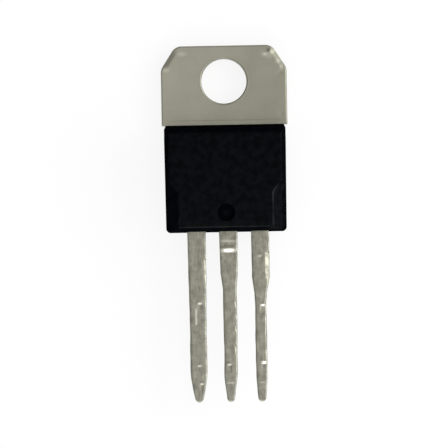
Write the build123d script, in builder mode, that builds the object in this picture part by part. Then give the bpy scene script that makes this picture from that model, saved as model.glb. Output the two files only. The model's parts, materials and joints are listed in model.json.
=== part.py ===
"""Three-lead voltage regulator in a moulded package with a metal tab, lying on its back.

The origin is where the axis of the screw hole meets the back face. +Z points out of the front face,
+Y points to the top edge of the tab, and the leads run towards -Y. All sizes are in millimetres.
"""

import os

from build123d import *

# Header: the plated copper tab and the pad behind the plastic
tab_width = 10.16
tab_height = 6.4
plate_thickness = 1.27
hole_diameter = 3.66
hole_to_top_edge = 2.85
corner_cut_width = 1.2
corner_cut_height = 1.87
corner_rounding = 0.9
edge_roll = 0.14
hole_chamfer = 0.12
corner_facet_width = 0.45
corner_facet_depth = 0.2
clamp_groove_to_body = 0.3
clamp_groove_width = 0.24
clamp_groove_depth = 0.06
pad_side_cover = 0.75
pad_end_cover = 2.45
lock_step_width = 0.4
lock_step_height = 0.45

# Leads: the same stamping, dipped in solder that leaves each one a little wider or narrower
lead_pitch = 2.54
lead_row_offset = 0.12
lead_thickness = 0.5
lead_back_height = 2.45
lead_length = 13.6
lead_width = 1.48
lead_edge_chamfer = 0.1
shoulder_length = 3.9
shoulder_taper = 0.75
left_lower_width = 1.38
centre_lower_width = 1.1
right_lower_width = 0.92
tip_length = 1.9
tip_width = 0.56
tip_rounding = 0.24
lead_entry = 0.45
post_width = 2.0
post_length = 1.5
post_hole_diameter = 0.6
crank_radius = 0.5
crank_start_share = 0.25
crank_end_share = 0.75

# Moulded body
body_side_setback = 0.21
body_height = 8.65
body_front_height = 4.5
top_wall_lean = 0.75
front_draft_angle = 12
back_draft_angle = 3
bottom_corner_rounding = 0.35
front_edge_rounding = 0.12
relief_start = 4.6
relief_run_in = 1.15
relief_width = 0.75
relief_depth = 0.95
ejector_mark_diameter = 1.3
ejector_mark_depth = 0.15
ejector_mark_to_bottom = 1.57
ejector_mark_draft_angle = 12

# Chip, its solder and its wires
die_width = 2.0
die_length = 2.4
die_thickness = 0.3
die_to_pad_end = 2.9
solder_thickness = 0.05
solder_margin = 0.12
wire_diameter = 0.15
wire_clearance = 0.01
wire_bend_radius = 0.28
wire_loop_height = 0.45
wire_foot_length = 0.5
wire_foot_width = 0.26
wire_foot_height = 0.16
ground_wire_reach = 1.2
wire_peak_share = 0.38
bond_pad_shares = {"left": (-0.3, -0.32), "centre": (0.0, -0.32), "right": (0.3, -0.32)}

# Widths, heights and places that follow from the sizes above
body_width = tab_width - 2 * body_side_setback
pad_width = body_width - 2 * pad_side_cover
left_lead = lead_row_offset - lead_pitch
right_lead = lead_row_offset + lead_pitch
top_edge = hole_to_top_edge
body_top = top_edge - tab_height
body_bottom = body_top - body_height
pad_end = body_bottom + pad_end_cover
pad_length = body_top - pad_end
parting_height = lead_back_height + lead_thickness / 2
lead_front_height = lead_back_height + lead_thickness
post_end = body_bottom + lead_entry + post_length
die_centre = pad_end + die_to_pad_end
die_bottom_height = plate_thickness + solder_thickness
die_top_height = die_bottom_height + die_thickness
wire_radius = wire_diameter / 2

os.makedirs("parts", exist_ok=True)


def lead_shank(centre, lower_width):
    """One lead from just inside the plastic to its tip: wide, narrowed below a shoulder, pointed."""
    upper, lower, point = lead_width / 2, lower_width / 2, tip_width / 2
    inner_end = body_bottom + lead_entry
    shoulder = body_bottom - shoulder_length
    tip = body_bottom - lead_length
    with BuildPart() as shank:
        with BuildSketch(Plane.XY.offset(lead_back_height)) as outline:
            with BuildLine():
                Polyline(
                    (centre + upper, inner_end),
                    (centre + upper, shoulder),
                    (centre + lower, shoulder - shoulder_taper),
                    (centre + lower, tip + tip_length),
                    (centre + point, tip),
                    (centre - point, tip),
                    (centre - lower, tip + tip_length),
                    (centre - lower, shoulder - shoulder_taper),
                    (centre - upper, shoulder),
                    (centre - upper, inner_end),
                    close=True,
                )
            make_face()
            fillet(outline.vertices().sort_by(Axis.Y)[:2], radius=tip_rounding)
        extrude(amount=lead_thickness)
        face_edges = shank.faces().filter_by(Plane.XY).edges()
        chamfer(face_edges.sort_by(Axis.Y)[:-2], length=lead_edge_chamfer)
    return shank.part


def bond_wire(start, end):
    """A round wire that loops from one bonding place to another, with a flattened foot at each."""
    along = Vector(end.X - start.X, end.Y - start.Y, 0)
    span = along.length
    step = end.Z - start.Z
    seat = wire_radius + wire_clearance
    peak = max(step, 0) + wire_loop_height
    upright = Plane(origin=start, x_dir=along, z_dir=along.cross(Vector(0, 0, 1)))
    with BuildPart() as wire:
        with BuildLine(upright) as path:
            FilletPolyline(
                (0, seat),
                (span * wire_peak_share, peak),
                (span, step + seat),
                radius=wire_bend_radius,
            )
        with BuildSketch(Plane(origin=path.line @ 0, z_dir=path.line % 0)):
            Circle(wire_radius)
        sweep(path=path.line)
        for foot in (start, end):
            with BuildSketch(Plane(origin=foot, x_dir=along, z_dir=(0, 0, 1))):
                RectangleRounded(wire_foot_length, wire_foot_width, wire_foot_width / 3)
            extrude(amount=wire_foot_height)
    return wire.part


def bond_pad(name):
    """The place on top of the chip where a wire starts."""
    across_share, along_share = bond_pad_shares[name]
    return Vector(die_width * across_share, die_centre + die_length * along_share, die_top_height)


def bond_post(centre):
    """The place on top of a lead's post where a wire ends."""
    return Vector(centre, post_end - wire_foot_length, lead_front_height)


# Heat sink tab: header plate and centre lead, stamped and bent as one piece
ground_shank = lead_shank(lead_row_offset, centre_lower_width)

with BuildPart() as heat_sink_tab:
    with BuildSketch() as tab_outline:
        with BuildLine():
            Polyline(
                (tab_width / 2, body_top),
                (tab_width / 2, top_edge - corner_cut_height),
                (tab_width / 2 - corner_cut_width, top_edge),
                (corner_cut_width - tab_width / 2, top_edge),
                (-tab_width / 2, top_edge - corner_cut_height),
                (-tab_width / 2, body_top),
                close=True,
            )
        make_face()
        fillet(tab_outline.vertices().sort_by(Axis.Y)[2:], radius=corner_rounding)
        Circle(hole_diameter / 2, mode=Mode.SUBTRACT)
    extrude(amount=plate_thickness)
    front_edges = heat_sink_tab.edges().group_by(Axis.Z)[-1]
    hole_edge = front_edges.filter_by(GeomType.CIRCLE).sort_by(SortBy.RADIUS)[-1]
    outline_edges = (front_edges - [hole_edge]).sort_by(Axis.Y)[1:]
    chamfer(hole_edge, length=hole_chamfer)
    fillet(outline_edges, radius=edge_roll)

    # Flats pressed along the front edge of both corner cuts
    for side in (1, -1):
        cut_middle = Vector(
            side * (tab_width - corner_cut_width) / 2, top_edge - corner_cut_height / 2, plate_thickness
        )
        outward = Vector(side * corner_cut_height, corner_cut_width, 0)
        facet_plane = Plane(origin=cut_middle, x_dir=outward, z_dir=outward.cross(Vector(0, 0, 1)))
        with BuildSketch(facet_plane):
            with BuildLine():
                Polyline(
                    (-corner_facet_width, 0),
                    (corner_facet_width, -2 * corner_facet_depth),
                    (corner_facet_width, corner_facet_depth),
                    close=True,
                )
            make_face()
        extrude(amount=corner_cut_height, both=True, mode=Mode.SUBTRACT)

    # Line that the closing mould presses into the tab beside the plastic
    with BuildSketch(Plane.YZ):
        with Locations((body_top + clamp_groove_to_body, plate_thickness)):
            Polygon(
                (-clamp_groove_width / 2, 0),
                (0, -clamp_groove_depth),
                (clamp_groove_width / 2, 0),
                align=None,
            )
    extrude(amount=tab_width / 2, both=True, mode=Mode.SUBTRACT)

    # Pad for the chip, stepped along its back edges so that the plastic holds it
    with BuildSketch():
        with Locations((0, body_top)):
            Rectangle(pad_width, pad_length, align=(Align.CENTER, Align.MAX))
    extrude(amount=plate_thickness)
    with BuildSketch():
        with Locations((0, body_top)):
            Rectangle(pad_width, pad_length, align=(Align.CENTER, Align.MAX))
            Rectangle(
                pad_width - 2 * lock_step_width,
                pad_length - lock_step_width,
                align=(Align.CENTER, Align.MAX),
                mode=Mode.SUBTRACT,
            )
    extrude(amount=lock_step_height, mode=Mode.SUBTRACT)

    # Centre lead: a strip that rises from the end of the pad to the level of the other leads
    strip_height = plate_thickness - lead_thickness / 2
    crank_space = pad_end_cover - lead_entry
    with BuildSketch(Plane.YZ.offset(lead_row_offset)):
        with BuildLine():
            FilletPolyline(
                (pad_end + lock_step_width, strip_height),
                (pad_end - crank_space * crank_start_share, strip_height),
                (pad_end - crank_space * crank_end_share, parting_height),
                (body_bottom + lead_entry, parting_height),
                radius=crank_radius,
            )
        trace(line_width=lead_thickness)
    extrude(amount=lead_width / 2, both=True)
    add(ground_shank)

heat_sink_tab.part.label = "heat_sink_tab"
export_step(heat_sink_tab.part, "parts/heat_sink_tab.step")

# Side leads, each with a post inside the plastic
lead_rows = {"input_lead": (left_lead, left_lower_width), "output_lead": (right_lead, right_lower_width)}
side_leads = {}
for name, (centre, lower_width) in lead_rows.items():
    shank_part = lead_shank(centre, lower_width)
    with BuildPart() as side_lead:
        add(shank_part)
        with BuildSketch(Plane.XY.offset(lead_back_height)):
            with Locations((centre, post_end)):
                Rectangle(post_width, post_length, align=(Align.CENTER, Align.MAX))
            with Locations((centre, post_end - post_length + post_hole_diameter)):
                Circle(post_hole_diameter / 2, mode=Mode.SUBTRACT)
        extrude(amount=lead_thickness)
    side_lead.part.label = name
    export_step(side_lead.part, f"parts/{name}.step")
    side_leads[name] = side_lead.part

# Solder layer under the chip
with BuildPart() as die_attach_solder:
    with BuildSketch(Plane.XY.offset(plate_thickness)):
        with Locations((0, die_centre)):
            Rectangle(die_width + 2 * solder_margin, die_length + 2 * solder_margin)
    extrude(amount=solder_thickness)

die_attach_solder.part.label = "die_attach_solder"
export_step(die_attach_solder.part, "parts/die_attach_solder.step")

# Silicon chip
with BuildPart() as regulator_die:
    with BuildSketch(Plane.XY.offset(die_bottom_height)):
        with Locations((0, die_centre)):
            Rectangle(die_width, die_length)
    extrude(amount=die_thickness)

regulator_die.part.label = "regulator_die"
export_step(regulator_die.part, "parts/regulator_die.step")

# Bond wires from the chip to both posts and down to the pad
ground_start = bond_pad("centre")
ground_end = Vector(ground_start.X, ground_start.Y - ground_wire_reach, plate_thickness)
bond_wires = {
    "input_bond_wire": bond_wire(bond_pad("left"), bond_post(left_lead)),
    "output_bond_wire": bond_wire(bond_pad("right"), bond_post(right_lead)),
    "ground_bond_wire": bond_wire(ground_start, ground_end),
}
for name, wire_part in bond_wires.items():
    wire_part.label = name
    export_step(wire_part, f"parts/{name}.step")

# Moulded body: epoxy block around everything but the tab and the outer leads
with BuildPart() as moulded_body:
    with BuildSketch(Plane.XY.offset(parting_height)) as mould_outline:
        with Locations((0, body_bottom)):
            Rectangle(body_width, body_height + top_wall_lean, align=(Align.CENTER, Align.MIN))
        fillet(mould_outline.vertices().sort_by(Axis.Y)[:2], radius=bottom_corner_rounding)
    extrude(amount=body_front_height - parting_height, taper=front_draft_angle)
    extrude(mould_outline.sketch, amount=-parting_height, taper=back_draft_angle)

    # Top wall, upright at the end of the tab and leaning back above it
    with BuildSketch(Plane.YZ):
        with BuildLine():
            Polyline(
                (body_top, 0),
                (body_top, plate_thickness),
                (body_top - top_wall_lean, body_front_height),
                (body_top + top_wall_lean, body_front_height),
                (body_top + top_wall_lean, 0),
                close=True,
            )
        make_face()
    extrude(amount=body_width / 2, both=True, mode=Mode.SUBTRACT)

    # Slanted relief along the lower half of both long front edges, running out to a point
    front_edge = moulded_body.faces().sort_by(Axis.Z)[-1].bounding_box().max.X
    relief_full = body_top - relief_start - relief_run_in
    for side in (1, -1):
        with BuildSketch(Plane.XZ.offset(-relief_full)) as relief_section:
            with BuildLine():
                Polyline(
                    (side * (front_edge - relief_width), body_front_height),
                    (side * (front_edge + relief_width), body_front_height - 2 * relief_depth),
                    (side * (front_edge + relief_width), body_front_height + relief_depth),
                    close=True,
                )
            make_face()
        extrude(amount=relief_full - body_bottom, mode=Mode.SUBTRACT)
        apex = Vertex(side * front_edge, body_top - relief_start, body_front_height)
        loft(sections=[relief_section.sketch, apex], ruled=True, mode=Mode.SUBTRACT)

    front_face = moulded_body.faces().filter_by(Plane.XY).sort_by(Axis.Z)[-1]
    fillet(front_face.edges(), radius=front_edge_rounding)

    # Round mark of an ejector pin
    with BuildSketch(Plane.XY.offset(body_front_height)):
        with Locations((0, body_bottom + ejector_mark_to_bottom)):
            Circle(ejector_mark_diameter / 2)
    extrude(amount=-ejector_mark_depth, taper=ejector_mark_draft_angle, mode=Mode.SUBTRACT)

    # Room for everything that the plastic was moulded around
    inner_pieces = [heat_sink_tab.part, die_attach_solder.part, regulator_die.part]
    for piece in [*inner_pieces, *side_leads.values(), *bond_wires.values()]:
        add(piece, mode=Mode.SUBTRACT)

moulded_body.part.label = "moulded_body"
export_step(moulded_body.part, "parts/moulded_body.step")
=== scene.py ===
import json
import math

import bmesh
import bpy
import numpy as np
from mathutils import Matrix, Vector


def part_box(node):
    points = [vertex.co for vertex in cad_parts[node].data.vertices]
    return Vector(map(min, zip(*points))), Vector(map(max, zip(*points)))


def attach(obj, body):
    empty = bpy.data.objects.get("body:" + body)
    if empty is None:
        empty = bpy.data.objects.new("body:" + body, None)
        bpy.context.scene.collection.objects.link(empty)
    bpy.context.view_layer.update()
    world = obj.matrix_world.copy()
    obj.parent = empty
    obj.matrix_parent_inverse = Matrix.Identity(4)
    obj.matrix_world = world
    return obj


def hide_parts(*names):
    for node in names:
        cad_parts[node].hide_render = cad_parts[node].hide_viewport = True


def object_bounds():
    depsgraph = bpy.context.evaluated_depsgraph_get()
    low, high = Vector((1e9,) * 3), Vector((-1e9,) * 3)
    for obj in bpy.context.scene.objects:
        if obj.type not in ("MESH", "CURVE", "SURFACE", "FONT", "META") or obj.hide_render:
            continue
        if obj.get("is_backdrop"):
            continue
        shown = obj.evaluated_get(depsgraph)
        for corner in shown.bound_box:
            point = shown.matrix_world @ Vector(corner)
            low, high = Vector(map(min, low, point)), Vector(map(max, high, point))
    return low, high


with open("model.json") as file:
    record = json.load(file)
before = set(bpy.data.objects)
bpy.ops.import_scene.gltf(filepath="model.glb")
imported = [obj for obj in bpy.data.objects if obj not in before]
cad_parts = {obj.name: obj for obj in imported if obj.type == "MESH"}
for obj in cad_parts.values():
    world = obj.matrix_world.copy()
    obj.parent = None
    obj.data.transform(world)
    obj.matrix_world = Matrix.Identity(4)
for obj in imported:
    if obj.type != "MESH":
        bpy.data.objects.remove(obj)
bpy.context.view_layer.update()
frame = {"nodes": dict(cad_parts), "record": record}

# Heat sink tab
# A stamped copper plate, tin plated, with a punched screw hole and both top corners cut off.
# Stamping rounds its front edges, and the closing mould pressed a line into it beside the plastic.

tab_high = np.array(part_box("heat_sink_tab")[1])
body_low, body_high = (np.array(corner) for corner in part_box("moulded_body"))
screw_hole = next(mount for mount in frame["record"]["mounts"] if mount["name"] == "screw_hole")
hole_radius = screw_hole["dims"]["r_mm"] / 1000
plate_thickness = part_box("die_attach_solder")[0].z
tab_half_width = tab_high[0]
tab_top, tab_end = tab_high[1], body_high[1]
corner_cut_width, corner_cut_height = 1.2e-3, 1.87e-3
corner_rounding = 0.9e-3
lower_corner_rounding = 0.03e-3
edge_roll = 0.14e-3
back_burr = 0.03e-3
hole_roll = 0.13e-3
hole_sink, hole_sink_reach = 0.014e-3, 0.4e-3
facet_width, facet_depth, facet_fade, facet_softness = 0.38e-3, 0.13e-3, 0.7e-3, 0.012e-3
groove_to_body, groove_width, groove_depth = 0.3e-3, 0.26e-3, 0.014e-3
groove_end_gap, groove_end_fade = 0.3e-3, 0.5e-3
face_margin = 0.5e-3
# A nick is its place across and along, its reach and its depth. The first is a raised burr.
nicks = [
    (3.75e-3, 2.34e-3, 0.18e-3, -0.095e-3), (4.55e-3, 0.6e-3, 0.2e-3, 0.02e-3),
    (4.6e-3, -2.7e-3, 0.2e-3, 0.02e-3),
]
# A rubbed spot, painted bright as worn metal and as a painted highlight, is its place across and
# along, its reach across and along, and its strength.
rubs_and_highlights = [
    (-3.38e-3, 2.22e-3, 0.34e-3, 0.18e-3, 0.6), (-4.64e-3, 0.95e-3, 0.24e-3, 0.17e-3, 0.7),
    (3.39e-3, 2.1e-3, 0.27e-3, 0.16e-3, 0.9), (3.72e-3, 1.98e-3, 0.34e-3, 0.2e-3, 0.4),
    (4.36e-3, 1.5e-3, 0.2e-3, 0.2e-3, 0.5), (4.68e-3, 1.08e-3, 0.15e-3, 0.24e-3, 1),
]
tin_colour = (0.37, 0.358, 0.29)
tin_dull_and_shade_colour = (0.275, 0.27, 0.213)
rubbed_highlight_tin_colour = (0.6, 0.585, 0.49)
# The left and right tones paint light and shade across the plate; the blotch tone is random.
left_light_tone, right_shade_tone, tin_blotch_tone = 0.88, 0.15, 0.16
drag_line_width, drag_line_stretch = 0.07e-3, 0.08
noise_range, narrow_noise_range = (0.3, 0.7), (0.35, 0.65)
rub_streaks = (0.5, 1)
rolled_roughness, sheared_roughness = (0.4, 0.5), (0.36, 0.62)


def rounded_ring(corners, radii, inset, side_steps, arc_steps, least_radius=1e-6):
    """Outline of a convex polygon, given counter-clockwise and moved inwards by the inset, as one row.

    Each side moves along its inward normal. Two moved sides meet in a new corner, which an arc rounds, of
    the corner's radius less the inset. Every inset has the same number of points, so rows join point to
    point.
    """
    corners = np.asarray(corners, float)
    radii = np.maximum(np.asarray(radii, float) - inset, least_radius)
    sides = np.roll(corners, -1, axis=0) - corners
    after = sides / np.linalg.norm(sides, axis=1, keepdims=True)
    before = np.roll(after, 1, axis=0)
    after_inward = np.stack([-after[:, 1], after[:, 0]], axis=1)
    before_inward = np.roll(after_inward, 1, axis=0)
    corner_way = (before_inward + after_inward) / (1 + (before * after).sum(axis=1, keepdims=True))
    centres = corners + corner_way * (inset + radii[:, None])
    turn_sine = before[:, 0] * after[:, 1] - before[:, 1] * after[:, 0]
    turns = np.arctan2(turn_sine, (before * after).sum(axis=1))
    starts = np.arctan2(-before_inward[:, 1], -before_inward[:, 0])
    angles = starts[:, None] + turns[:, None] * np.linspace(0, 1, arc_steps)
    arcs = centres[:, None] + radii[:, None, None] * np.stack([np.cos(angles), np.sin(angles)], axis=-1)
    shares = np.linspace(0, 1, side_steps + 2)[1:-1, None]
    runs = arcs[:, -1:] + (np.roll(arcs[:, 0], -1, axis=0)[:, None] - arcs[:, -1:]) * shares
    return np.concatenate([arcs, runs], axis=1).reshape(-1, 2)


def level_row(points, height):
    """An outline's points as one row at a height."""
    return np.column_stack([points, np.full(len(points), height)])


def skin_object(name, rows, loop, sharp_degrees=32, masks=None, merge_distance=2e-7, least_edge=1e-8):
    """Object whose surface joins rows of points, each a closed loop, by quads to the next row.

    With loop the last row joins the first, as in a ring. Without it each end row lies on one point, a pole.
    Points that coincide are merged, and all faces are turned outwards. Each mask is a number per point
    that the piece's material reads by name.
    """
    count, columns, _ = rows.shape
    index = np.arange(count * columns).reshape(count, columns)
    lower = index if loop else index[:-1]
    upper = np.roll(index, -1, axis=0) if loop else index[1:]
    quads = [lower, np.roll(lower, -1, axis=1), np.roll(upper, -1, axis=1), upper]
    faces = np.stack(quads, axis=-1).reshape(-1, 4)
    mesh = bpy.data.meshes.new(name)
    mesh.from_pydata(rows.reshape(-1, 3).tolist(), [], faces.tolist())
    for mask_name, values in (masks or {}).items():
        layer = mesh.attributes.new(mask_name, "FLOAT", "POINT")
        layer.data.foreach_set("value", values.astype(np.float32).ravel())
    work = bmesh.new()
    work.from_mesh(mesh)
    bmesh.ops.remove_doubles(work, verts=work.verts, dist=merge_distance)
    bmesh.ops.dissolve_degenerate(work, edges=work.edges, dist=least_edge)
    bmesh.ops.recalc_face_normals(work, faces=work.faces)
    work.to_mesh(mesh)
    work.free()
    mesh.shade_smooth()
    mesh.set_sharp_from_angle(angle=math.radians(sharp_degrees))
    made = bpy.data.objects.new(name, mesh)
    bpy.context.scene.collection.objects.link(made)
    return made


def smooth_step(value):
    """0 below 0, 1 above 1, and a smooth S between."""
    held = np.clip(value, 0, 1)
    return held * held * (3 - 2 * held)


def tab_rows():
    """Plate with a hole, as rows round the hole: up its wall, over the front, down the edge and back.

    Near the outline a row is the outline moved inwards; between it and the hole a row is a share of both.
    The front is level, less a quarter round at the edge and at the hole, a sink that dies away from the
    hole, a V-shaped line beside the plastic, and a slanted flat with a soft inner edge along the middle of
    each corner cut. Bell-shaped nicks are laid over it, of which one is raised. Also gives two masks: the
    sheared walls, at the edge and in the hole, and the bell-shaped spots painted bright, as metal that
    handling has rubbed and as painted highlights.
    """
    corners = [
        (tab_half_width, tab_end),
        (tab_half_width, tab_top - corner_cut_height),
        (tab_half_width - corner_cut_width, tab_top),
        (corner_cut_width - tab_half_width, tab_top),
        (-tab_half_width, tab_top - corner_cut_height),
        (-tab_half_width, tab_end),
    ]
    radii = [lower_corner_rounding] + [corner_rounding] * 4 + [lower_corner_rounding]
    side_steps, arc_steps, roll_steps = 84, 14, 7
    hole_wall_steps, front_steps, border_steps, wall_steps, back_steps = 6, 46, 19, 5, 9

    def outline(inset):
        """The plate's outline, moved inwards by the inset."""
        return rounded_ring(corners, radii, inset, side_steps, arc_steps)

    edge = outline(0)
    beside_body = edge[:, 1] < tab_end + 2 * lower_corner_rounding
    margin = outline(face_margin)
    angles = np.arctan2(margin[:, 1], margin[:, 0])
    around = np.stack([np.cos(angles), np.sin(angles)], axis=1)
    quarter = np.linspace(0, math.pi / 2, roll_steps)[1:]

    hole_heights = np.linspace(0, plate_thickness - hole_roll, hole_wall_steps)
    hole_wall = [level_row(around * hole_radius, height) for height in hole_heights]
    hole_edge = []
    for angle in quarter:
        radius = hole_radius + hole_roll * (1 - math.cos(angle))
        hole_edge.append(level_row(around * radius, plate_thickness - hole_roll * (1 - math.sin(angle))))
    hole_rim = around * (hole_radius + hole_roll)
    front_shares = np.linspace(0, 1, front_steps)[1:]
    front = [level_row(hole_rim + (margin - hole_rim) * share, plate_thickness) for share in front_shares]
    border_insets = np.linspace(face_margin, edge_roll, border_steps)[1:]
    border = [level_row(outline(inset), plate_thickness) for inset in border_insets]
    rolled = []
    for angle in quarter:
        height = plate_thickness - edge_roll * (1 - math.cos(angle))
        row = level_row(outline(edge_roll * (1 - math.sin(angle))), height)
        row[beside_body] = level_row(edge, plate_thickness)[beside_body]
        rolled.append(row)
    wall_heights = np.linspace(plate_thickness - edge_roll, back_burr, wall_steps)[1:]
    wall = [level_row(edge, height) for height in wall_heights]
    back_edge = np.where(beside_body[:, None], edge, outline(back_burr))
    to_hole = around * hole_radius - back_edge
    back = [level_row(back_edge + to_hole * share, 0) for share in np.linspace(0, 1, back_steps)[:-1]]
    rows = np.array(hole_wall + hole_edge + front + border + rolled + wall + back)

    first = len(hole_wall + hole_edge)
    last = len(hole_wall + hole_edge + front + border + rolled)
    x, y, z = rows[first:last, :, 0], rows[first:last, :, 1], rows[first:last, :, 2]
    from_hole = np.hypot(x, y) - hole_radius - hole_roll
    z = z - hole_sink * np.exp(-from_hole / hole_sink_reach)
    groove = 1 - np.abs(y - tab_end - groove_to_body) / (groove_width / 2)
    groove_fade = np.clip((tab_half_width - np.abs(x) - groove_end_gap) / groove_end_fade, 0, 1)
    z = z - groove_depth * np.clip(groove, 0, 1) * groove_fade
    cut_length = math.hypot(corner_cut_width, corner_cut_height)
    across = (tab_half_width - np.abs(x)) * corner_cut_height + (tab_top - y) * corner_cut_width
    from_cut = (across - corner_cut_width * corner_cut_height) / cut_length
    up_cut = (tab_half_width - np.abs(x)) * corner_cut_width - (tab_top - y) * corner_cut_height
    from_middle = (up_cut - (corner_cut_width**2 - corner_cut_height**2) / 2) / cut_length
    shown = smooth_step((cut_length / 2 - np.abs(from_middle)) / facet_fade)
    above_facet = z - plate_thickness + facet_depth * (1 - from_cut / facet_width)
    z = z - shown * facet_softness * np.log1p(np.exp(above_facet / facet_softness))
    for nick_x, nick_y, reach, nick_depth in nicks:
        z = z - nick_depth * np.exp(-((x - nick_x) ** 2 + (y - nick_y) ** 2) / reach**2)
    rows[first:last, :, 2] = z

    # Rubbed spots, painted bright as worn metal and as painted highlights.
    rubs_and_sheen = np.zeros(rows.shape[:2])
    for rub_x, rub_y, across_reach, along_reach, strength in rubs_and_highlights:
        spot = np.exp(-(((x - rub_x) / across_reach) ** 2) - ((y - rub_y) / along_reach) ** 2)
        rubs_and_sheen[first:last] = np.maximum(rubs_and_sheen[first:last], strength * spot)
    row_number = np.arange(len(rows))[:, None] * np.ones(rows.shape[1])
    wall_end = last + len(wall)
    sheared = (row_number < len(hole_wall)) | ((row_number >= last - 1) & (row_number < wall_end))
    return rows, {"sheared": sheared, "rubs_and_sheen": rubs_and_sheen}


def link(tree, source, target):
    """Join an output socket to an input socket."""
    tree.links.new(source, target)


def combined(tree, operation, first, second):
    """Two values put together by one operation of arithmetic; each is a number or a socket."""
    node = tree.nodes.new("ShaderNodeMath")
    node.operation = operation
    for socket, value in zip(node.inputs, (first, second)):
        if isinstance(value, (int, float)):
            socket.default_value = value
        else:
            link(tree, value, socket)
    return node.outputs[0]


def surface_wear_group():
    """Shared wear of plated metal and moulded plastic, read from the place on the piece.

    Blotches are a slow noise, and grain is a fine noise drawn out along the part. Each comes out as a
    number from 0 to 1.
    """
    group = bpy.data.node_groups.new("surface_wear", "ShaderNodeTree")
    for socket in ("Blotch Size", "Grain Size", "Grain Stretch"):
        group.interface.new_socket(socket, in_out="INPUT", socket_type="NodeSocketFloat")
    for socket in ("Blotches", "Grain"):
        group.interface.new_socket(socket, in_out="OUTPUT", socket_type="NodeSocketFloat")
    given = group.nodes.new("NodeGroupInput")
    result = group.nodes.new("NodeGroupOutput")
    place = group.nodes.new("ShaderNodeTexCoord")

    def noise_over(size_socket, vector, detail):
        """A noise over the given places, whose scale is one over the size."""
        noise = group.nodes.new("ShaderNodeTexNoise")
        noise.inputs["Detail"].default_value = detail
        link(group, vector, noise.inputs["Vector"])
        link(group, combined(group, "DIVIDE", 1, given.outputs[size_socket]), noise.inputs["Scale"])
        return noise.outputs["Fac"]

    stretch = group.nodes.new("ShaderNodeCombineXYZ")
    stretch.inputs["X"].default_value = 1
    stretch.inputs["Z"].default_value = 1
    link(group, given.outputs["Grain Stretch"], stretch.inputs["Y"])
    drawn_out = group.nodes.new("ShaderNodeVectorMath")
    drawn_out.operation = "MULTIPLY"
    link(group, place.outputs["Object"], drawn_out.inputs[0])
    link(group, stretch.outputs[0], drawn_out.inputs[1])

    blotches = noise_over("Blotch Size", place.outputs["Object"], detail=4)
    grain = noise_over("Grain Size", drawn_out.outputs[0], detail=3)
    link(group, blotches, result.inputs["Blotches"])
    link(group, grain, result.inputs["Grain"])
    return group


surface_wear = surface_wear_group()


def new_material(name):
    """A material, with its node tree and its shader."""
    material = bpy.data.materials.new(name)
    material.use_nodes = True
    return material, material.node_tree, material.node_tree.nodes["Principled BSDF"]


def wear_node(tree, blotch_size, grain_size, grain_stretch):
    """The shared wear, placed in a material with its own sizes in metres."""
    node = tree.nodes.new("ShaderNodeGroup")
    node.node_tree = surface_wear
    node.inputs["Blotch Size"].default_value = blotch_size
    node.inputs["Grain Size"].default_value = grain_size
    node.inputs["Grain Stretch"].default_value = grain_stretch
    return node


def piece_place(tree):
    """The place on the piece, in metres."""
    return tree.nodes.new("ShaderNodeTexCoord").outputs["Object"]


def place_along(tree, axis):
    """The place on the piece along one axis, in metres."""
    axes = tree.nodes.new("ShaderNodeSeparateXYZ")
    link(tree, piece_place(tree), axes.inputs[0])
    return axes.outputs[axis]


def ranged(tree, value, source, target):
    """A number moved from one range to another and held at its ends; each range is a pair."""
    node = tree.nodes.new("ShaderNodeMapRange")
    for socket, end in zip(("From Min", "From Max", "To Min", "To Max"), (*source, *target)):
        node.inputs[socket].default_value = end
    link(tree, value, node.inputs["Value"])
    return node.outputs["Result"]


def mixed_colour(tree, share, first, second):
    """A blend of two colours by a share from 0 to 1; each colour is a triple or a socket.

    A mix of colours takes them at its inputs 6 and 7 and gives the blend at its output 2.
    """
    node = tree.nodes.new("ShaderNodeMix")
    node.data_type = "RGBA"
    link(tree, share, node.inputs["Factor"])
    for socket, colour in ((node.inputs[6], first), (node.inputs[7], second)):
        if isinstance(colour, tuple):
            socket.default_value = (*colour, 1)
        else:
            link(tree, colour, socket)
    return node.outputs[2]


def mixed_value(tree, share, first, second):
    """A blend of two numbers by a share from 0 to 1; each number is a socket.

    A mix of numbers takes them at its inputs 2 and 3 and gives the blend at its output 0.
    """
    node = tree.nodes.new("ShaderNodeMix")
    link(tree, share, node.inputs["Factor"])
    link(tree, first, node.inputs[2])
    link(tree, second, node.inputs[3])
    return node.outputs[0]


def mask_value(tree, name):
    """A number per point that the piece's mesh carries by name."""
    node = tree.nodes.new("ShaderNodeAttribute")
    node.attribute_name = name
    return node.outputs["Fac"]


def bumped(tree, height, strength, distance):
    """A normal that follows a height from 0 to 1, times a distance in metres."""
    node = tree.nodes.new("ShaderNodeBump")
    node.inputs["Strength"].default_value = strength
    node.inputs["Distance"].default_value = distance
    link(tree, height, node.inputs["Height"])
    return node.outputs["Normal"]


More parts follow.
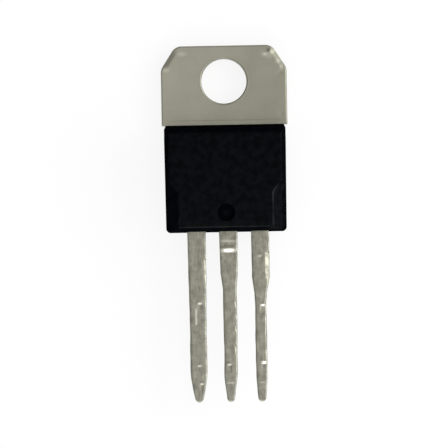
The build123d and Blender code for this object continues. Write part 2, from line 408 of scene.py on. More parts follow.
def tin_material():
    """Satin tin: warm grey metal, faintly blotched, with fine rolling grain; lighter at the left and darker
    towards the right edge, as painted light and shade.

    The rubbed spots are brighter, in streaks along the grain, as worn metal and as painted highlights.
    On the sheared walls the grain gives way to drag lines, a noise drawn out through the plate, which
    are rougher.
    """
    material, tree, shader = new_material("satin_tin")
    wear = wear_node(tree, blotch_size=1.6e-3, grain_size=0.09e-3, grain_stretch=0.12)
    grain = wear.outputs["Grain"]
    side_to_side = (-tab_half_width, tab_half_width)
    # Lighter at the left, darker at the right: painted light and shade.
    painted_side_light = ranged(tree, place_along(tree, "X"), side_to_side, (left_light_tone, right_shade_tone))
    blotched = ranged(tree, wear.outputs["Blotches"], noise_range, (-tin_blotch_tone, tin_blotch_tone))
    colour = mixed_colour(tree, combined(tree, "ADD", painted_side_light, blotched), tin_dull_and_shade_colour, tin_colour)
    # The rubbed spots are painted bright in streaks, as wear and as painted highlights.
    streaks = ranged(tree, grain, narrow_noise_range, rub_streaks)
    rubs_and_sheen = combined(tree, "MULTIPLY", mask_value(tree, "rubs_and_sheen"), streaks)
    link(tree, mixed_colour(tree, rubs_and_sheen, colour, rubbed_highlight_tin_colour), shader.inputs["Base Color"])
    through = tree.nodes.new("ShaderNodeMapping")
    through.inputs["Scale"].default_value = (1, 1, drag_line_stretch)
    link(tree, piece_place(tree), through.inputs["Vector"])
    drag_noise = tree.nodes.new("ShaderNodeTexNoise")
    drag_noise.inputs["Scale"].default_value = 1 / drag_line_width
    link(tree, through.outputs[0], drag_noise.inputs["Vector"])
    drag_lines = drag_noise.outputs["Fac"]
    sheared = mask_value(tree, "sheared")
    front_roughness = ranged(tree, grain, noise_range, rolled_roughness)
    wall_roughness = ranged(tree, drag_lines, noise_range, sheared_roughness)
    link(tree, mixed_value(tree, sheared, front_roughness, wall_roughness), shader.inputs["Roughness"])
    relief = mixed_value(tree, sheared, grain, drag_lines)
    link(tree, bumped(tree, relief, strength=0.3, distance=0.012e-3), shader.inputs["Normal"])
    shader.inputs["Metallic"].default_value = 1
    return material


tin = tin_material()
plate_rows, plate_masks = tab_rows()
tab_plate = skin_object("heat_sink_tab_plate", plate_rows, loop=True, masks=plate_masks)
tab_plate.data.materials.append(tin)
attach(tab_plate, "root")
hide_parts("heat_sink_tab")

# Chip pad
# The rest of the same stamping, behind the plastic: it carries the chip in front and shows on the back.
# A step along its back edges lets the plastic grip it.

pad_side_cover, pad_end_cover = 0.75e-3, 2.45e-3
pad_half_width = body_high[0] - pad_side_cover
pad_end = body_low[1] + pad_end_cover
lock_step_width, lock_step_height = 0.4e-3, 0.45e-3
pad_corner_rounding = 0.02e-3
step_setback = 0.0005e-3


def pad_outline(step, setback, side_steps, arc_steps):
    """Outline of the pad, less the step on three sides, and set back by a hair where it joins the tab."""
    half_width, low, high = pad_half_width - step, pad_end + step, tab_end - setback
    corners = [(-half_width, low), (half_width, low), (half_width, high), (-half_width, high)]
    return rounded_ring(corners, [pad_corner_rounding] * 4, 0, side_steps, arc_steps)


def pad_rows():
    """Rectangular pad as rows that shrink to a pole at both ends, with a step on three back edges."""
    side_steps, arc_steps, face_steps = 24, 3, 8
    wide = pad_outline(0, 0, side_steps, arc_steps)
    narrow = pad_outline(lock_step_width, step_setback, side_steps, arc_steps)
    middle = np.array([0, (tab_end + pad_end) / 2])
    shares = np.linspace(0, 1, face_steps)
    front = [level_row(middle + (wide - middle) * share, plate_thickness) for share in shares]
    step = [level_row(wide, lock_step_height), level_row(narrow, lock_step_height)]
    back = [level_row(middle + (narrow - middle) * share, 0) for share in shares[::-1]]
    return np.array(front + step + back)


pad = skin_object("heat_sink_pad", pad_rows(), loop=False)
pad.data.materials.append(tin)
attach(pad, "root")
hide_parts("heat_sink_tab")

# Leads
# Flat copper leads of the same stamping, dipped in hot solder to a little below the plastic. The coat is
# thin and uneven, rounds the edges below the dip line, and carries small marks of later handling.

lead_low, lead_high = (np.array(corner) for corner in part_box("input_lead"))
lead_middle_height = (lead_low[2] + lead_high[2]) / 2
lead_half_thickness = (lead_high[2] - lead_low[2]) / 2
lead_tip = lead_low[1]
left_lead = (lead_low[0] + lead_high[0]) / 2
right_lead = float(np.mean([corner.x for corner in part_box("output_lead")]))
centre_lead = (left_lead + right_lead) / 2
body_bottom = body_low[1]
lead_half_width = 0.74e-3
post_half_width = (lead_high[0] - lead_low[0]) / 2
post_end = lead_high[1]
lead_entry = 0.45e-3
tip_length, tip_half_width, tip_rounding = 2.0e-3, 0.28e-3, 0.27e-3
tip_curve, tip_bluntness = 1.25, 0.3
bare_power, coated_power = 7, 5
coat_thickness, coat_start, coat_unevenness = 0.02e-3, 0.35e-3, 0.28
edge_wander = 0.006e-3
wave_count, wave_sizes, wave_lengths = 7, (0.4, 1), (0.25e-3, 1.1e-3)
run_fade, longest_run_out = 0.2e-3, 0.8e-3
dent_return, dent_lip = 4.5, 0.4
bright_dent_depth = 0.08e-3
solder_colour = (0.385, 0.374, 0.304)
solder_dull_colour = (0.182, 0.178, 0.146)
# Fresh metal, and the painted glint on the falling side of dents.
fresh_glint_solder_colour = (0.72, 0.71, 0.62)
solder_blotch_tone, solder_streak_tone = (0, 0.55), (0, 0.45)
solder_roughness, fresh_roughness_share = (0.45, 0.23), 0.6


def lead_rows(centre, inner, outline, dip_depth, dents, runs, scratches, seed):
    """One lead as sections along its length, each a rounded rectangle, and a mask of fresh metal and glint.

    A section is a superellipse: the height is the half thickness times (1 - share of the half width to a
    power), to one over that power. The stamped outline says how far the lead reaches to the left and to
    the right at depths below the plastic; the tip draws both in by a power of the share of its length, and
    closes in a blunt round. Below the dip line the solder adds a thin coat, uneven by a sum of waves, and
    lowers the section's power, which rounds the edges. A dent in the front rises to a lip, falls evenly
    from its start to its depth and comes back slowly, and fades out to both sides. A run is a slanted flat
    along the right edge, and a scratch a V-shaped line along the lead. Inside the plastic the inner values
    give its end, its half width and how far it sinks, by a smooth step. The mask is bright on the falling
    side of dents, as fresh metal and as a painted glint, and in scratches, as fresh metal.
    """
    draws = np.random.default_rng(seed)
    shank_steps, tip_steps, round_steps = 420, 13, 80
    inner_end, inner_half_width, inner_sink = inner
    straight = np.linspace(inner_end, lead_tip + tip_rounding, shank_steps)
    ending = lead_tip + tip_rounding * (1 - np.sin(np.linspace(0, math.pi / 2, tip_steps)[1:]))
    along = np.concatenate([[inner_end], straight, ending])
    below = body_bottom - along
    lead_length = body_bottom - lead_tip
    depths, left_reach, right_reach = np.array(outline).T
    left, right = np.interp(below, depths, left_reach), np.interp(below, depths, right_reach)
    in_tip = np.clip((below - lead_length + tip_length) / tip_length, 0, 1)
    half_width = (left + right) / 2
    half_width = half_width - (half_width - tip_half_width) * in_tip**tip_curve
    half_width = np.where(below < -lead_entry, inner_half_width, half_width)
    aside = np.where(below < -lead_entry, 0, (right - left) / 2)[:, None]
    coated = smooth_step((below - dip_depth) / coat_start)
    waves = np.zeros(len(along))
    for _ in range(wave_count):
        wave_size = draws.uniform(*wave_sizes)
        wave_length = draws.uniform(*wave_lengths)
        wave_start = draws.uniform(0, 2 * math.pi)
        waves = waves + wave_size * np.sin(below / wave_length + wave_start)
    half_thickness = lead_half_thickness + coated * coat_thickness * (1 + coat_unevenness * waves)
    half_width = half_width + coated * edge_wander * waves
    in_round = np.clip((lead_tip + tip_rounding - along) / tip_rounding, 0, 1)
    closing = np.sqrt(np.clip(1 - in_round**2, 0, 1))
    closing[0] = 0
    inner_length = inner_end - body_bottom - lead_entry
    sunk = inner_sink * smooth_step((along - body_bottom - lead_entry) / inner_length)

    turn = np.linspace(0, 2 * math.pi, round_steps, endpoint=False)
    share, side = np.cos(turn)[None, :], np.sign(np.sin(turn))[None, :]
    power = (bare_power + (coated_power - bare_power) * coated)[:, None]
    height = np.clip(1 - np.abs(share) ** power, 0, 1) ** (1 / power)
    across = share * (half_width * closing)[:, None]
    blunt = closing**tip_bluntness
    up = side * height * (half_thickness * blunt)[:, None]
    front = np.clip(side, 0, 1) * height * blunt[:, None]
    depth = below[:, None]
    fresh_and_glint = np.zeros(across.shape)
    for middle, reach, start, fall, hollow in dents:
        lip = dent_lip * smooth_step((depth - start + fall) / fall)
        into = np.clip((depth - start) / fall, 0, 1)
        back = smooth_step((depth - start - fall) / (dent_return * fall))
        beside = np.exp(-(((across - middle) / reach) ** 4))
        up = up + front * hollow * (lip - into) * (1 - back) * beside
        # The falling side of each dent is painted bright: fresh metal and a painted glint.
        brightness = min(hollow / bright_dent_depth, 1)
        fresh_and_glint = np.maximum(fresh_and_glint, front * beside * 4 * into * (1 - into) * brightness)
    for run_start, run_end, run_width, slope in runs:
        run_out = min(longest_run_out, (run_end - run_start) / 2)
        shown = smooth_step((depth - run_start) / run_fade) * smooth_step((run_end - depth) / run_out)
        past = np.clip(across - (half_width[:, None] - run_width), 0, None)
        up = up - front * shown * slope * past
    for middle, reach, start, end, hollow in scratches:
        shown = smooth_step((depth - start) / run_fade) * smooth_step((end - depth) / run_fade)
        line = np.clip(1 - np.abs(across - middle) / reach, 0, 1) * shown
        up = up - front * hollow * line
        fresh_and_glint = np.maximum(fresh_and_glint, front * line)
    y = np.broadcast_to(along[:, None], across.shape)
    rows = np.stack([centre + aside + across, y, lead_middle_height - sunk[:, None] + up], axis=-1)
    return rows, {"fresh_metal_and_glint": fresh_and_glint}


def solder_material():
    """Dipped solder: grey metal, brighter in patches and in streaks along the lead, with soft pits.

    Where a mark has cut into it, fresh metal is brighter and smoother; on the falling side of dents the
    brightness is also a painted glint.
    """
    material, tree, shader = new_material("dipped_solder")
    wear = wear_node(tree, blotch_size=0.5e-3, grain_size=0.14e-3, grain_stretch=0.18)
    blotches, grain = wear.outputs["Blotches"], wear.outputs["Grain"]
    blotched = ranged(tree, blotches, noise_range, solder_blotch_tone)
    streaked = ranged(tree, grain, noise_range, solder_streak_tone)
    tone = combined(tree, "ADD", blotched, streaked)
    colour = mixed_colour(tree, tone, solder_dull_colour, solder_colour)
    fresh_and_glint = mask_value(tree, "fresh_metal_and_glint")
    link(tree, mixed_colour(tree, fresh_and_glint, colour, fresh_glint_solder_colour), shader.inputs["Base Color"])
    dipped_roughness = ranged(tree, blotches, noise_range, solder_roughness)
    smoothed = ranged(tree, fresh_and_glint, (0, 1), (1, fresh_roughness_share))
    link(tree, combined(tree, "MULTIPLY", dipped_roughness, smoothed), shader.inputs["Roughness"])
    link(tree, bumped(tree, grain, strength=0.5, distance=0.02e-3), shader.inputs["Normal"])
    shader.inputs["Metallic"].default_value = 1
    return material


solder = solder_material()
sink_to_pad = lead_middle_height - plate_thickness + lead_half_thickness
post = (post_end, post_half_width, 0)
to_pad = (pad_end, lead_half_width, sink_to_pad)
# The outline's points are a depth below the plastic and the reach to the left and to the right there.
# A dent is its middle, reach, start, fall and depth, and a run its start, end, width and slope.
# A scratch is its middle, reach, start, end and depth.
lead_plan = {
    "input_lead_dipped": dict(
        node="input_lead", centre=left_lead, inner=post, dip_depth=2.0e-3, seed=5,
        outline=[
            (0, 0.735e-3, 0.755e-3), (1.6e-3, 0.72e-3, 0.74e-3), (3.9e-3, 0.7e-3, 0.73e-3),
            (5.4e-3, 0.67e-3, 0.7e-3), (10e-3, 0.655e-3, 0.675e-3),
        ],
        dents=[
            (0.16e-3, 0.18e-3, 5.58e-3, 0.22e-3, 0.07e-3), (0.06e-3, 0.16e-3, 10.58e-3, 0.2e-3, 0.055e-3),
            (0.22e-3, 0.15e-3, 12.03e-3, 0.2e-3, 0.06e-3),
        ],
        runs=[(2.05e-3, 4.2e-3, 0.36e-3, 0.17)],
        scratches=[(-0.14e-3, 0.1e-3, 6.0e-3, 7.5e-3, 0.015e-3)],
    ),
    "ground_lead_dipped": dict(
        node="heat_sink_tab", centre=centre_lead, inner=to_pad, dip_depth=1.5e-3, seed=8,
        outline=[
            (0, 0.73e-3, 0.75e-3), (1.6e-3, 0.705e-3, 0.735e-3), (3.3e-3, 0.68e-3, 0.72e-3),
            (4.6e-3, 0.5e-3, 0.59e-3), (8e-3, 0.5e-3, 0.61e-3), (10.5e-3, 0.49e-3, 0.58e-3),
            (12.2e-3, 0.49e-3, 0.5e-3),
        ],
        dents=[
            (0.02e-3, 0.6e-3, 1.3e-3, 0.37e-3, 0.17e-3), (0.02e-3, 0.6e-3, 0.62e-3, 0.22e-3, 0.03e-3),
            (-0.12e-3, 0.17e-3, 10.5e-3, 0.22e-3, 0.065e-3), (0.02e-3, 0.3e-3, 12.0e-3, 0.14e-3, 0.03e-3),
        ],
        runs=[
            (5.4e-3, 6.1e-3, 0.18e-3, 0.4), (7.4e-3, 8.1e-3, 0.16e-3, 0.35),
            (9.0e-3, 9.9e-3, 0.2e-3, 0.4),
        ],
        scratches=[],
    ),
    "output_lead_dipped": dict(
        node="output_lead", centre=right_lead, inner=post, dip_depth=1.6e-3, seed=13,
        outline=[
            (0, 0.71e-3, 0.74e-3), (3.6e-3, 0.7e-3, 0.73e-3), (4.9e-3, 0.52e-3, 0.47e-3),
            (5.7e-3, 0.5e-3, 0.42e-3), (10e-3, 0.5e-3, 0.42e-3),
        ],
        dents=[
            (0.2e-3, 0.24e-3, 5.78e-3, 0.24e-3, 0.085e-3), (0.22e-3, 0.26e-3, 10.34e-3, 0.3e-3, 0.1e-3),
            (0.05e-3, 0.22e-3, 12.0e-3, 0.14e-3, 0.03e-3), (-0.05e-3, 0.14e-3, 1.85e-3, 0.22e-3, 0.04e-3),
        ],
        runs=[
            (1.55e-3, 4.2e-3, 0.36e-3, 0.5), (5.2e-3, 10.9e-3, 0.12e-3, 0.2),
            (7.9e-3, 8.7e-3, 0.16e-3, 0.25),
        ],
        scratches=[],
    ),
}
for name, plan in lead_plan.items():
    node = plan.pop("node")
    shank_rows, shank_masks = lead_rows(**plan)
    lead = skin_object(name, shank_rows, loop=False, sharp_degrees=50, masks=shank_masks)
    lead.data.materials.append(solder)
    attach(lead, "root")
    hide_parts(node)

# Chip, its solder and its wires
# A silicon chip soldered to the pad, with drawn aluminium wires bonded to the leads' posts and to the pad.
# All of it is sealed in the plastic, so the solids stay and only get their finish.

inner_grain_share, inner_roughness_spread = 1 / 8, 0.12


def inner_material(name, colour, dull_colour, metallic, roughness, blotch_size):
    """A finish for a sealed piece: two close tones in blotches, with a fine grain in its gloss."""
    material, tree, shader = new_material(name)
    wear = wear_node(tree, blotch_size, grain_size=blotch_size * inner_grain_share, grain_stretch=1)
    toned = mixed_colour(tree, wear.outputs["Blotches"], dull_colour, colour)
    link(tree, toned, shader.inputs["Base Color"])
    grained = (roughness, roughness + inner_roughness_spread)
    link(tree, ranged(tree, wear.outputs["Grain"], noise_range, grained), shader.inputs["Roughness"])
    shader.inputs["Metallic"].default_value = metallic
    return material


silicon = inner_material(
    "polished_silicon", colour=(0.2, 0.21, 0.25), dull_colour=(0.15, 0.16, 0.2),
    metallic=0, roughness=0.15, blotch_size=0.6e-3,
)
die_solder = inner_material(
    "dull_die_solder", colour=(0.5, 0.49, 0.47), dull_colour=(0.4, 0.39, 0.38),
    metallic=1, roughness=0.4, blotch_size=0.3e-3,
)
wire_metal = inner_material(
    "drawn_aluminium", colour=(0.8, 0.8, 0.81), dull_colour=(0.7, 0.7, 0.71),
    metallic=1, roughness=0.25, blotch_size=0.2e-3,
)
inner_finish = {
    "regulator_die": silicon,
    "die_attach_solder": die_solder,
    "input_bond_wire": wire_metal,
    "output_bond_wire": wire_metal,
    "ground_bond_wire": wire_metal,
}
for node, finish in inner_finish.items():
    slots = frame["nodes"][node].data.materials
    slots.clear()
    slots.append(finish)

# Moulded body
# Black filled epoxy, moulded around all but the tab and the outer leads. Its walls lean in from the parting
# line, both long front edges are cut back in their lower half, and an ejector pin left a round mark.

body_half_width = body_high[0]
body_top = body_high[1]
front_height = body_high[2]
parting_height = lead_middle_height
front_draft, back_draft = math.radians(12), math.radians(3)
side_lean = (front_height - parting_height) * math.tan(front_draft)
back_lean = parting_height * math.tan(back_draft)
top_lean = 0.75e-3
lower_corner, upper_corner = 0.35e-3, 0.06e-3
front_rounding = 0.11e-3
side_taper = 0.06e-3
flash_reach, flash_half_height, flash_top_gap = 0.012e-3, 0.04e-3, 0.5e-3
flash_shares = (0.4, 0, -0.4)
relief_start, relief_run_in = 4.6e-3, 1.15e-3
relief_width, relief_depth = 0.75e-3, 0.95e-3
ejector_radius, ejector_depth, ejector_lip = 0.65e-3, 0.13e-3, 0.05e-3
ejector_to_bottom = 1.57e-3
ejector_middle = np.array([0, body_bottom + ejector_to_bottom])
body_side_steps, body_arc_steps = 90, 12
rubbed_from, rubbed_run_in, straight_edge_start = 3e-3, 0.7, 0.8
relief_polish, flash_polish = 0.19, 0.3
least_edge_polish, bottom_edge_polish, straight_edge_loss = 0.15, 0.7, 0.6
low_face_polish, low_band = 0.12, 0.65e-3
top_wall_corner_share = 0.7
face_colour, face_dull_and_sheen_colour = (0.0004, 0.0006, 0.001), (0.003, 0.0034, 0.0046)
wall_colour, wall_dull_and_sheen_colour = (0.0013, 0.0016, 0.0023), (0.0028, 0.0032, 0.0043)
# The mark's ring is painted shade.
pin_mark_shade_colour = (0.0003, 0.0005, 0.0011)
# The back half's grey is a painted sheen.
back_half_sheen_colour, back_half_sheen_share = (0.005, 0.0053, 0.0062), (0.7, 1)
mottle_range, mottle_tone = (0.36, 0.64), (0, 0.95)
# Lighter towards the leads and darker towards the tab: a painted sheen.
lead_side_sheen_tone, tab_side_sheen_tone = 0.22, -0.12
epoxy_roughness, polish_roughness = (0.62, 0.8), 0.4
edge_gloss, back_half_gloss = 0.34, 0.06
broken_polish = (0.55, 1)
# The walls' copy has no sheen: a shaded copy of the same epoxy, dark as in shade.
face_specular, mark_specular, shaded_wall_specular = 0.03, 0.015, 0
level_normal, top_wall_normal = 0.99, 0.5


def body_outline(height, inset):
    """Outline of the block at one height, moved inwards by the inset.

    The sides and the bottom lean in by a share of the way from the parting line; the top wall stands
    upright at the end of the tab and leans in above it. Where the relief runs, the half width is held to
    its slanted flat, which moves out with depth and, along its run-in, comes in by the sine of the share
    already passed.
    """
    if height > parting_height:
        lean = side_lean * (height - parting_height) / (front_height - parting_height)
    else:
        lean = back_lean * (parting_height - height) / parting_height
    top = body_top - top_lean * max(height - plate_thickness, 0) / (front_height - plate_thickness)
    half_width, bottom = body_half_width - lean, body_bottom + lean
    lower = half_width - side_taper
    corners = [(-lower, bottom), (lower, bottom), (half_width, top), (-half_width, top)]
    radii = [lower_corner, lower_corner, upper_corner, upper_corner]
    points = rounded_ring(corners, radii, inset, body_side_steps, body_arc_steps)
    gone = np.sin(np.clip((body_top - relief_start - points[:, 1]) / relief_run_in, 0, 1) * math.pi / 2)
    front_half_width = body_half_width - side_lean
    slant = (front_height - height) * relief_width / relief_depth
    flat = front_half_width - relief_width * gone + slant - inset
    held = np.where(gone > 0, np.minimum(np.abs(points[:, 0]), flat), np.abs(points[:, 0]))
    return np.column_stack([np.sign(points[:, 0]) * held, points[:, 1]])


def body_rows():
    """The block as rows from a pole in the ejector mark, over the front, down the walls and in to the pad.

    The mark's floor is level and its lip a smooth step. The front is a share between the lip and the
    outline; the front edge is a quarter round; the walls are the outline at each height; behind, the rows
    follow the stepped edge of the pad to a pole under it. A thin ridge of flash stands out along the
    parting line, except on the top wall. Also gives three masks: the mark's painted shade, a ring that
    fades out up its lip and towards its middle, the half behind the parting line, and the polish that
    handling left on the flash, low on the front, and along the front edge and the relief, most of it at
    right and below.
    """
    mark_steps, lip_steps, front_steps, round_steps = 6, 7, 41, 6
    front_wall_steps, back_wall_steps = 30, 10
    edge = body_outline(front_height, front_rounding)
    angles = np.arctan2(edge[:, 1] - ejector_middle[1], edge[:, 0] - ejector_middle[0])
    around = np.stack([np.cos(angles), np.sin(angles)], axis=1)

    def circle(radius):
        """A circle about the mark's middle, with one point towards each point of the outline."""
        return ejector_middle + around * radius

    mark_floor = front_height - ejector_depth
    floor_radius = ejector_radius - ejector_lip
    mark = [level_row(circle(radius), mark_floor) for radius in np.linspace(0, floor_radius, mark_steps)]
    for share in np.linspace(0, 1, lip_steps)[1:]:
        lip = circle(floor_radius + 2 * ejector_lip * share)
        mark.append(level_row(lip, mark_floor + ejector_depth * smooth_step(share)))
    rim = circle(ejector_radius + ejector_lip)
    front_shares = np.linspace(0, 1, front_steps)[1:]
    front = [level_row(rim + (edge - rim) * share, front_height) for share in front_shares]
    rounded = []
    for angle in np.linspace(0, math.pi / 2, round_steps)[1:]:
        height = front_height - front_rounding * (1 - math.cos(angle))
        rounded.append(level_row(body_outline(height, front_rounding * (1 - math.sin(angle))), height))
    wall_start, wall_end = front_height - front_rounding, parting_height + flash_half_height
    front_heights = np.linspace(wall_start, wall_end, front_wall_steps)[1:]
    back_heights = np.linspace(parting_height - flash_half_height, 0, back_wall_steps)
    walls = [level_row(body_outline(height, 0), height) for height in front_heights]
    seam, flash = body_outline(parting_height, 0), body_outline(parting_height, -flash_reach)
    pressed = smooth_step((body_top - top_lean - seam[:, 1:]) / flash_top_gap)
    ridge = seam + (flash - seam) * pressed
    walls += [level_row(ridge, parting_height + share * flash_half_height) for share in flash_shares]
    back_start = len(mark + front + rounded + walls)
    walls += [level_row(body_outline(height, 0), height) for height in back_heights]

    narrow = pad_outline(lock_step_width, step_setback, body_side_steps, body_arc_steps)
    wide = pad_outline(0, 0, body_side_steps, body_arc_steps)
    middle = np.array([0, (tab_end + pad_end) / 2])
    pocket = [level_row(narrow, 0), level_row(narrow, lock_step_height), level_row(wide, lock_step_height)]
    pocket += [level_row(middle + (wide - middle) * share, plate_thickness) for share in (1, 0.5, 0)]
    rows = np.array(mark + front + rounded + walls + pocket)

    row_number = np.arange(len(rows))[:, None] * np.ones(rows.shape[1])
    before_edge, after_edge = len(mark + front), len(mark + front + rounded)
    x, y, z = rows[:, :, 0], rows[:, :, 1], rows[:, :, 2]
    at_right = smooth_step((x - rubbed_from) / relief_width)
    into_relief = (body_top - relief_start - y) / relief_run_in
    rubbed_right = at_right * smooth_step(into_relief / rubbed_run_in)
    edge_right = rubbed_right * (1 - straight_edge_loss * smooth_step(into_relief - straight_edge_start))
    edge_below = bottom_edge_polish * smooth_step((body_bottom + 2 * relief_width - y) / relief_width)
    low_face = smooth_step((body_bottom + side_lean + low_band - y) / low_band)
    on_face = (row_number >= len(mark)) & (row_number < before_edge)
    on_edge = (row_number >= before_edge) & (row_number < after_edge - 1)
    on_relief = (row_number >= after_edge - 1) & (z > front_height - relief_depth)
    on_flash = (row_number >= back_start - len(flash_shares)) & (row_number < back_start)
    polish = on_edge * np.maximum(least_edge_polish, np.maximum(edge_right, edge_below))
    polish = np.maximum(polish, low_face_polish * on_face * low_face)
    polish = np.maximum(polish, relief_polish * on_relief * rubbed_right + flash_polish * on_flash)
    # A ring of painted shade in the mark, darkest at the foot of its lip.
    up_lip = smooth_step((len(mark) - row_number) / (lip_steps - 1))
    from_middle = smooth_step((row_number + 1) / (mark_steps - 1))
    below_top_wall = y < y.max(axis=1, keepdims=True) - top_wall_corner_share * upper_corner
    masks = {
        "pin_mark_shade": up_lip * from_middle,
        "back_half": (row_number >= back_start) & below_top_wall,
        "edge_polish": polish,
    }
    return rows, masks


def epoxy_material(name, colour, dull_colour, specular):
    """Black filled epoxy: very dark, faintly blue, finely grained, with dull blotches, and lighter towards
    the leads as a painted sheen.

    The mark is darker in a ring of painted shade that fades up its lip and towards its middle. The half
    behind the parting line, from the other side of the mould, is a little greyer, as a painted sheen. Where
    edges are polished, blotches break the gloss.
    """
    material, tree, shader = new_material(name)
    wear = wear_node(tree, blotch_size=0.55e-3, grain_size=0.1e-3, grain_stretch=1)
    blotches, grain = wear.outputs["Blotches"], wear.outputs["Grain"]
    # Lighter towards the leads, darker towards the tab: a painted sheen.
    end_to_end = (body_bottom, body_top)
    rubs_and_sheen = ranged(tree, place_along(tree, "Y"), end_to_end, (lead_side_sheen_tone, tab_side_sheen_tone))
    tone = combined(tree, "ADD", rubs_and_sheen, ranged(tree, blotches, mottle_range, mottle_tone))
    mottled = mixed_colour(tree, tone, colour, dull_colour)
    # The mark's ring of painted shade.
    marked = mixed_colour(tree, mask_value(tree, "pin_mark_shade"), mottled, pin_mark_shade_colour)
    # The back half is greyed as a painted sheen.
    behind = mask_value(tree, "back_half")
    greyed = combined(tree, "MULTIPLY", behind, ranged(tree, blotches, noise_range, back_half_sheen_share))
    link(tree, mixed_colour(tree, greyed, marked, back_half_sheen_colour), shader.inputs["Base Color"])
    link(tree, ranged(tree, blotches, noise_range, epoxy_roughness), shader.inputs["Roughness"])
    link(tree, bumped(tree, grain, strength=0.35, distance=0.012e-3), shader.inputs["Normal"])
    broken = ranged(tree, blotches, narrow_noise_range, broken_polish)
    polished = combined(tree, "MULTIPLY", mask_value(tree, "edge_polish"), broken)
    edge_coat = combined(tree, "MULTIPLY", polished, edge_gloss)
    back_coat = combined(tree, "MULTIPLY", behind, back_half_gloss)
    link(tree, combined(tree, "ADD", edge_coat, back_coat), shader.inputs["Coat Weight"])
    shader.inputs["Coat Roughness"].default_value = polish_roughness
    shader.inputs["Specular IOR Level"].default_value = specular
    return material


block_rows, block_masks = body_rows()
moulded = skin_object("moulded_epoxy_body", block_rows, loop=False, masks=block_masks)
# The walls take a shaded copy of the epoxy with no sheen, which keeps them dark as in shade; the mark takes
# a copy with half the sheen.
face_epoxy = epoxy_material("black_epoxy", face_colour, face_dull_and_sheen_colour, face_specular)
shaded_wall_epoxy = epoxy_material("black_epoxy_shaded_wall", wall_colour, wall_dull_and_sheen_colour, shaded_wall_specular)
mark_epoxy = epoxy_material("black_epoxy_mark", face_colour, face_dull_and_sheen_colour, mark_specular)
for finish in (face_epoxy, shaded_wall_epoxy, mark_epoxy):
    moulded.data.materials.append(finish)
face_number, wall_number, mark_number = 0, 1, 2
face_count = len(moulded.data.polygons)
middles, normals = np.empty(face_count * 3), np.empty(face_count * 3)
moulded.data.polygons.foreach_get("center", middles)
moulded.data.polygons.foreach_get("normal", normals)
middles, normals = middles.reshape(-1, 3), normals.reshape(-1, 3)
faces_up = normals[:, 2] > level_normal
in_front = faces_up & (middles[:, 2] > front_height - front_rounding / 2)
in_mark = faces_up & ~in_front & (middles[:, 2] > front_height - 2 * ejector_depth)
back_half = middles[:, 2] < parting_height - flash_half_height
on_top_wall = normals[:, 1] > top_wall_normal
has_sheen = in_front | (back_half & ~on_top_wall)
finish_number = np.select([in_mark, has_sheen], [mark_number, face_number], wall_number)
moulded.data.polygons.foreach_set("material_index", finish_number.astype(np.int32))
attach(moulded, "root")
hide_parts("moulded_body")

# Floor, light and camera
# A plain white sheet under the part, a soft sky that is darker at the upper left, a large soft box on the
# right and one below the leads, and a long lens looking straight down with the photograph's slight turn.

floor_half_size, floor_drop = 2, 0.02e-3
paper_colour = (0.9, 0.9, 0.9, 1)
white_share = 0.86
floor_mesh = bpy.data.meshes.new("white_sheet")
floor_corners = [(-1, -1), (1, -1), (1, 1), (-1, 1)]
floor_mesh.from_pydata(
    [(x * floor_half_size, y * floor_half_size, -floor_drop) for x, y in floor_corners], [], [(0, 1, 2, 3)]
)
floor = bpy.data.objects.new("white_sheet", floor_mesh)
bpy.context.scene.collection.objects.link(floor)
floor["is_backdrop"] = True

sheet = bpy.data.materials.new("white_paper")
sheet.use_nodes = True
sheet_tree = sheet.node_tree
sheet_tree.nodes.remove(sheet_tree.nodes["Principled BSDF"])
paper = sheet_tree.nodes.new("ShaderNodeBsdfDiffuse")
paper.inputs["Color"].default_value = paper_colour
glow = sheet_tree.nodes.new("ShaderNodeEmission")
rays = sheet_tree.nodes.new("ShaderNodeLightPath")
seen = combined(sheet_tree, "MAXIMUM", rays.outputs["Is Camera Ray"], rays.outputs["Is Glossy Ray"])
seen = combined(sheet_tree, "MAXIMUM", seen, rays.outputs["Is Transmission Ray"])
sheet_mix = sheet_tree.nodes.new("ShaderNodeMixShader")
link(sheet_tree, combined(sheet_tree, "MULTIPLY", seen, white_share), sheet_mix.inputs["Fac"])
link(sheet_tree, paper.outputs[0], sheet_mix.inputs[1])
link(sheet_tree, glow.outputs[0], sheet_mix.inputs[2])
link(sheet_tree, sheet_mix.outputs[0], sheet_tree.nodes["Material Output"].inputs["Surface"])
floor.data.materials.append(sheet)

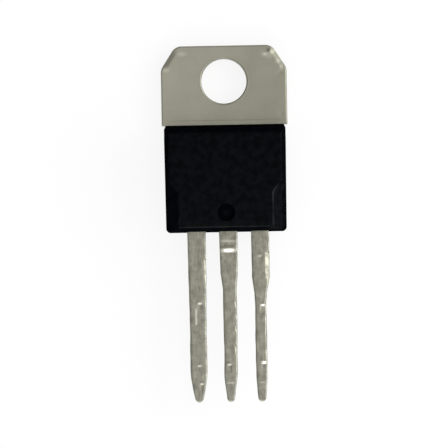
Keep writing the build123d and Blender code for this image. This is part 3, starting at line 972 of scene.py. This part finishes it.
bright_way = (0.71, -0.71, 0)
sky_turn, sky_strength = (-0.95, -0.05), (0.12, 1)
world = bpy.data.worlds.new("soft_sky")
world.use_nodes = True
bpy.context.scene.world = world
sky_tree = world.node_tree
sky = sky_tree.nodes["Background"]
sky.inputs["Color"].default_value = (1, 1, 1, 1)
sky_place = sky_tree.nodes.new("ShaderNodeTexCoord")
bright_side = sky_tree.nodes.new("ShaderNodeVectorMath")
bright_side.operation = "DOT_PRODUCT"
bright_side.inputs[1].default_value = bright_way
link(sky_tree, sky_place.outputs["Generated"], bright_side.inputs[0])
sky_level = ranged(sky_tree, bright_side.outputs["Value"], sky_turn, sky_strength)
link(sky_tree, sky_level, sky.inputs["Strength"])


def soft_box(name, place, aim, width, height, power):
    """A rectangular area light at a place, turned towards a point."""
    lamp = bpy.data.lights.new(name, "AREA")
    lamp.shape = "RECTANGLE"
    lamp.size = width
    lamp.size_y = height
    lamp.energy = power
    made = bpy.data.objects.new(name, lamp)
    bpy.context.scene.collection.objects.link(made)
    made.location = place
    made.rotation_euler = (aim - made.location).to_track_quat("-Z", "Y").to_euler()


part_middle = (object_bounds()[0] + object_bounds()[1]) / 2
soft_box("right_box", (0.17, 0.01, 0.12), part_middle, width=0.2, height=0.1, power=0.2)
soft_box("lower_box", (0.02, -0.19, 0.13), part_middle, width=0.12, height=0.06, power=0.09)

photo_pixels = 448
millimetres_per_pixel = 0.0807
lens, sensor = 180, 36
camera_above_tab = photo_pixels * millimetres_per_pixel / 1000 * lens / sensor
photo_turn = math.radians(1.05)
view_middle = (-0.195e-3, -11.557e-3)
camera_data = bpy.data.cameras.new("photo_camera")
camera_data.lens = lens
camera_data.sensor_width = sensor
camera_data.clip_start = 0.01
camera = bpy.data.objects.new("photo_camera", camera_data)
bpy.context.scene.collection.objects.link(camera)
camera.location = (*view_middle, plate_thickness + camera_above_tab)
camera.rotation_euler = (0, 0, -photo_turn)
bpy.context.scene.camera = camera
bpy.context.scene.view_settings.view_transform = "Standard"
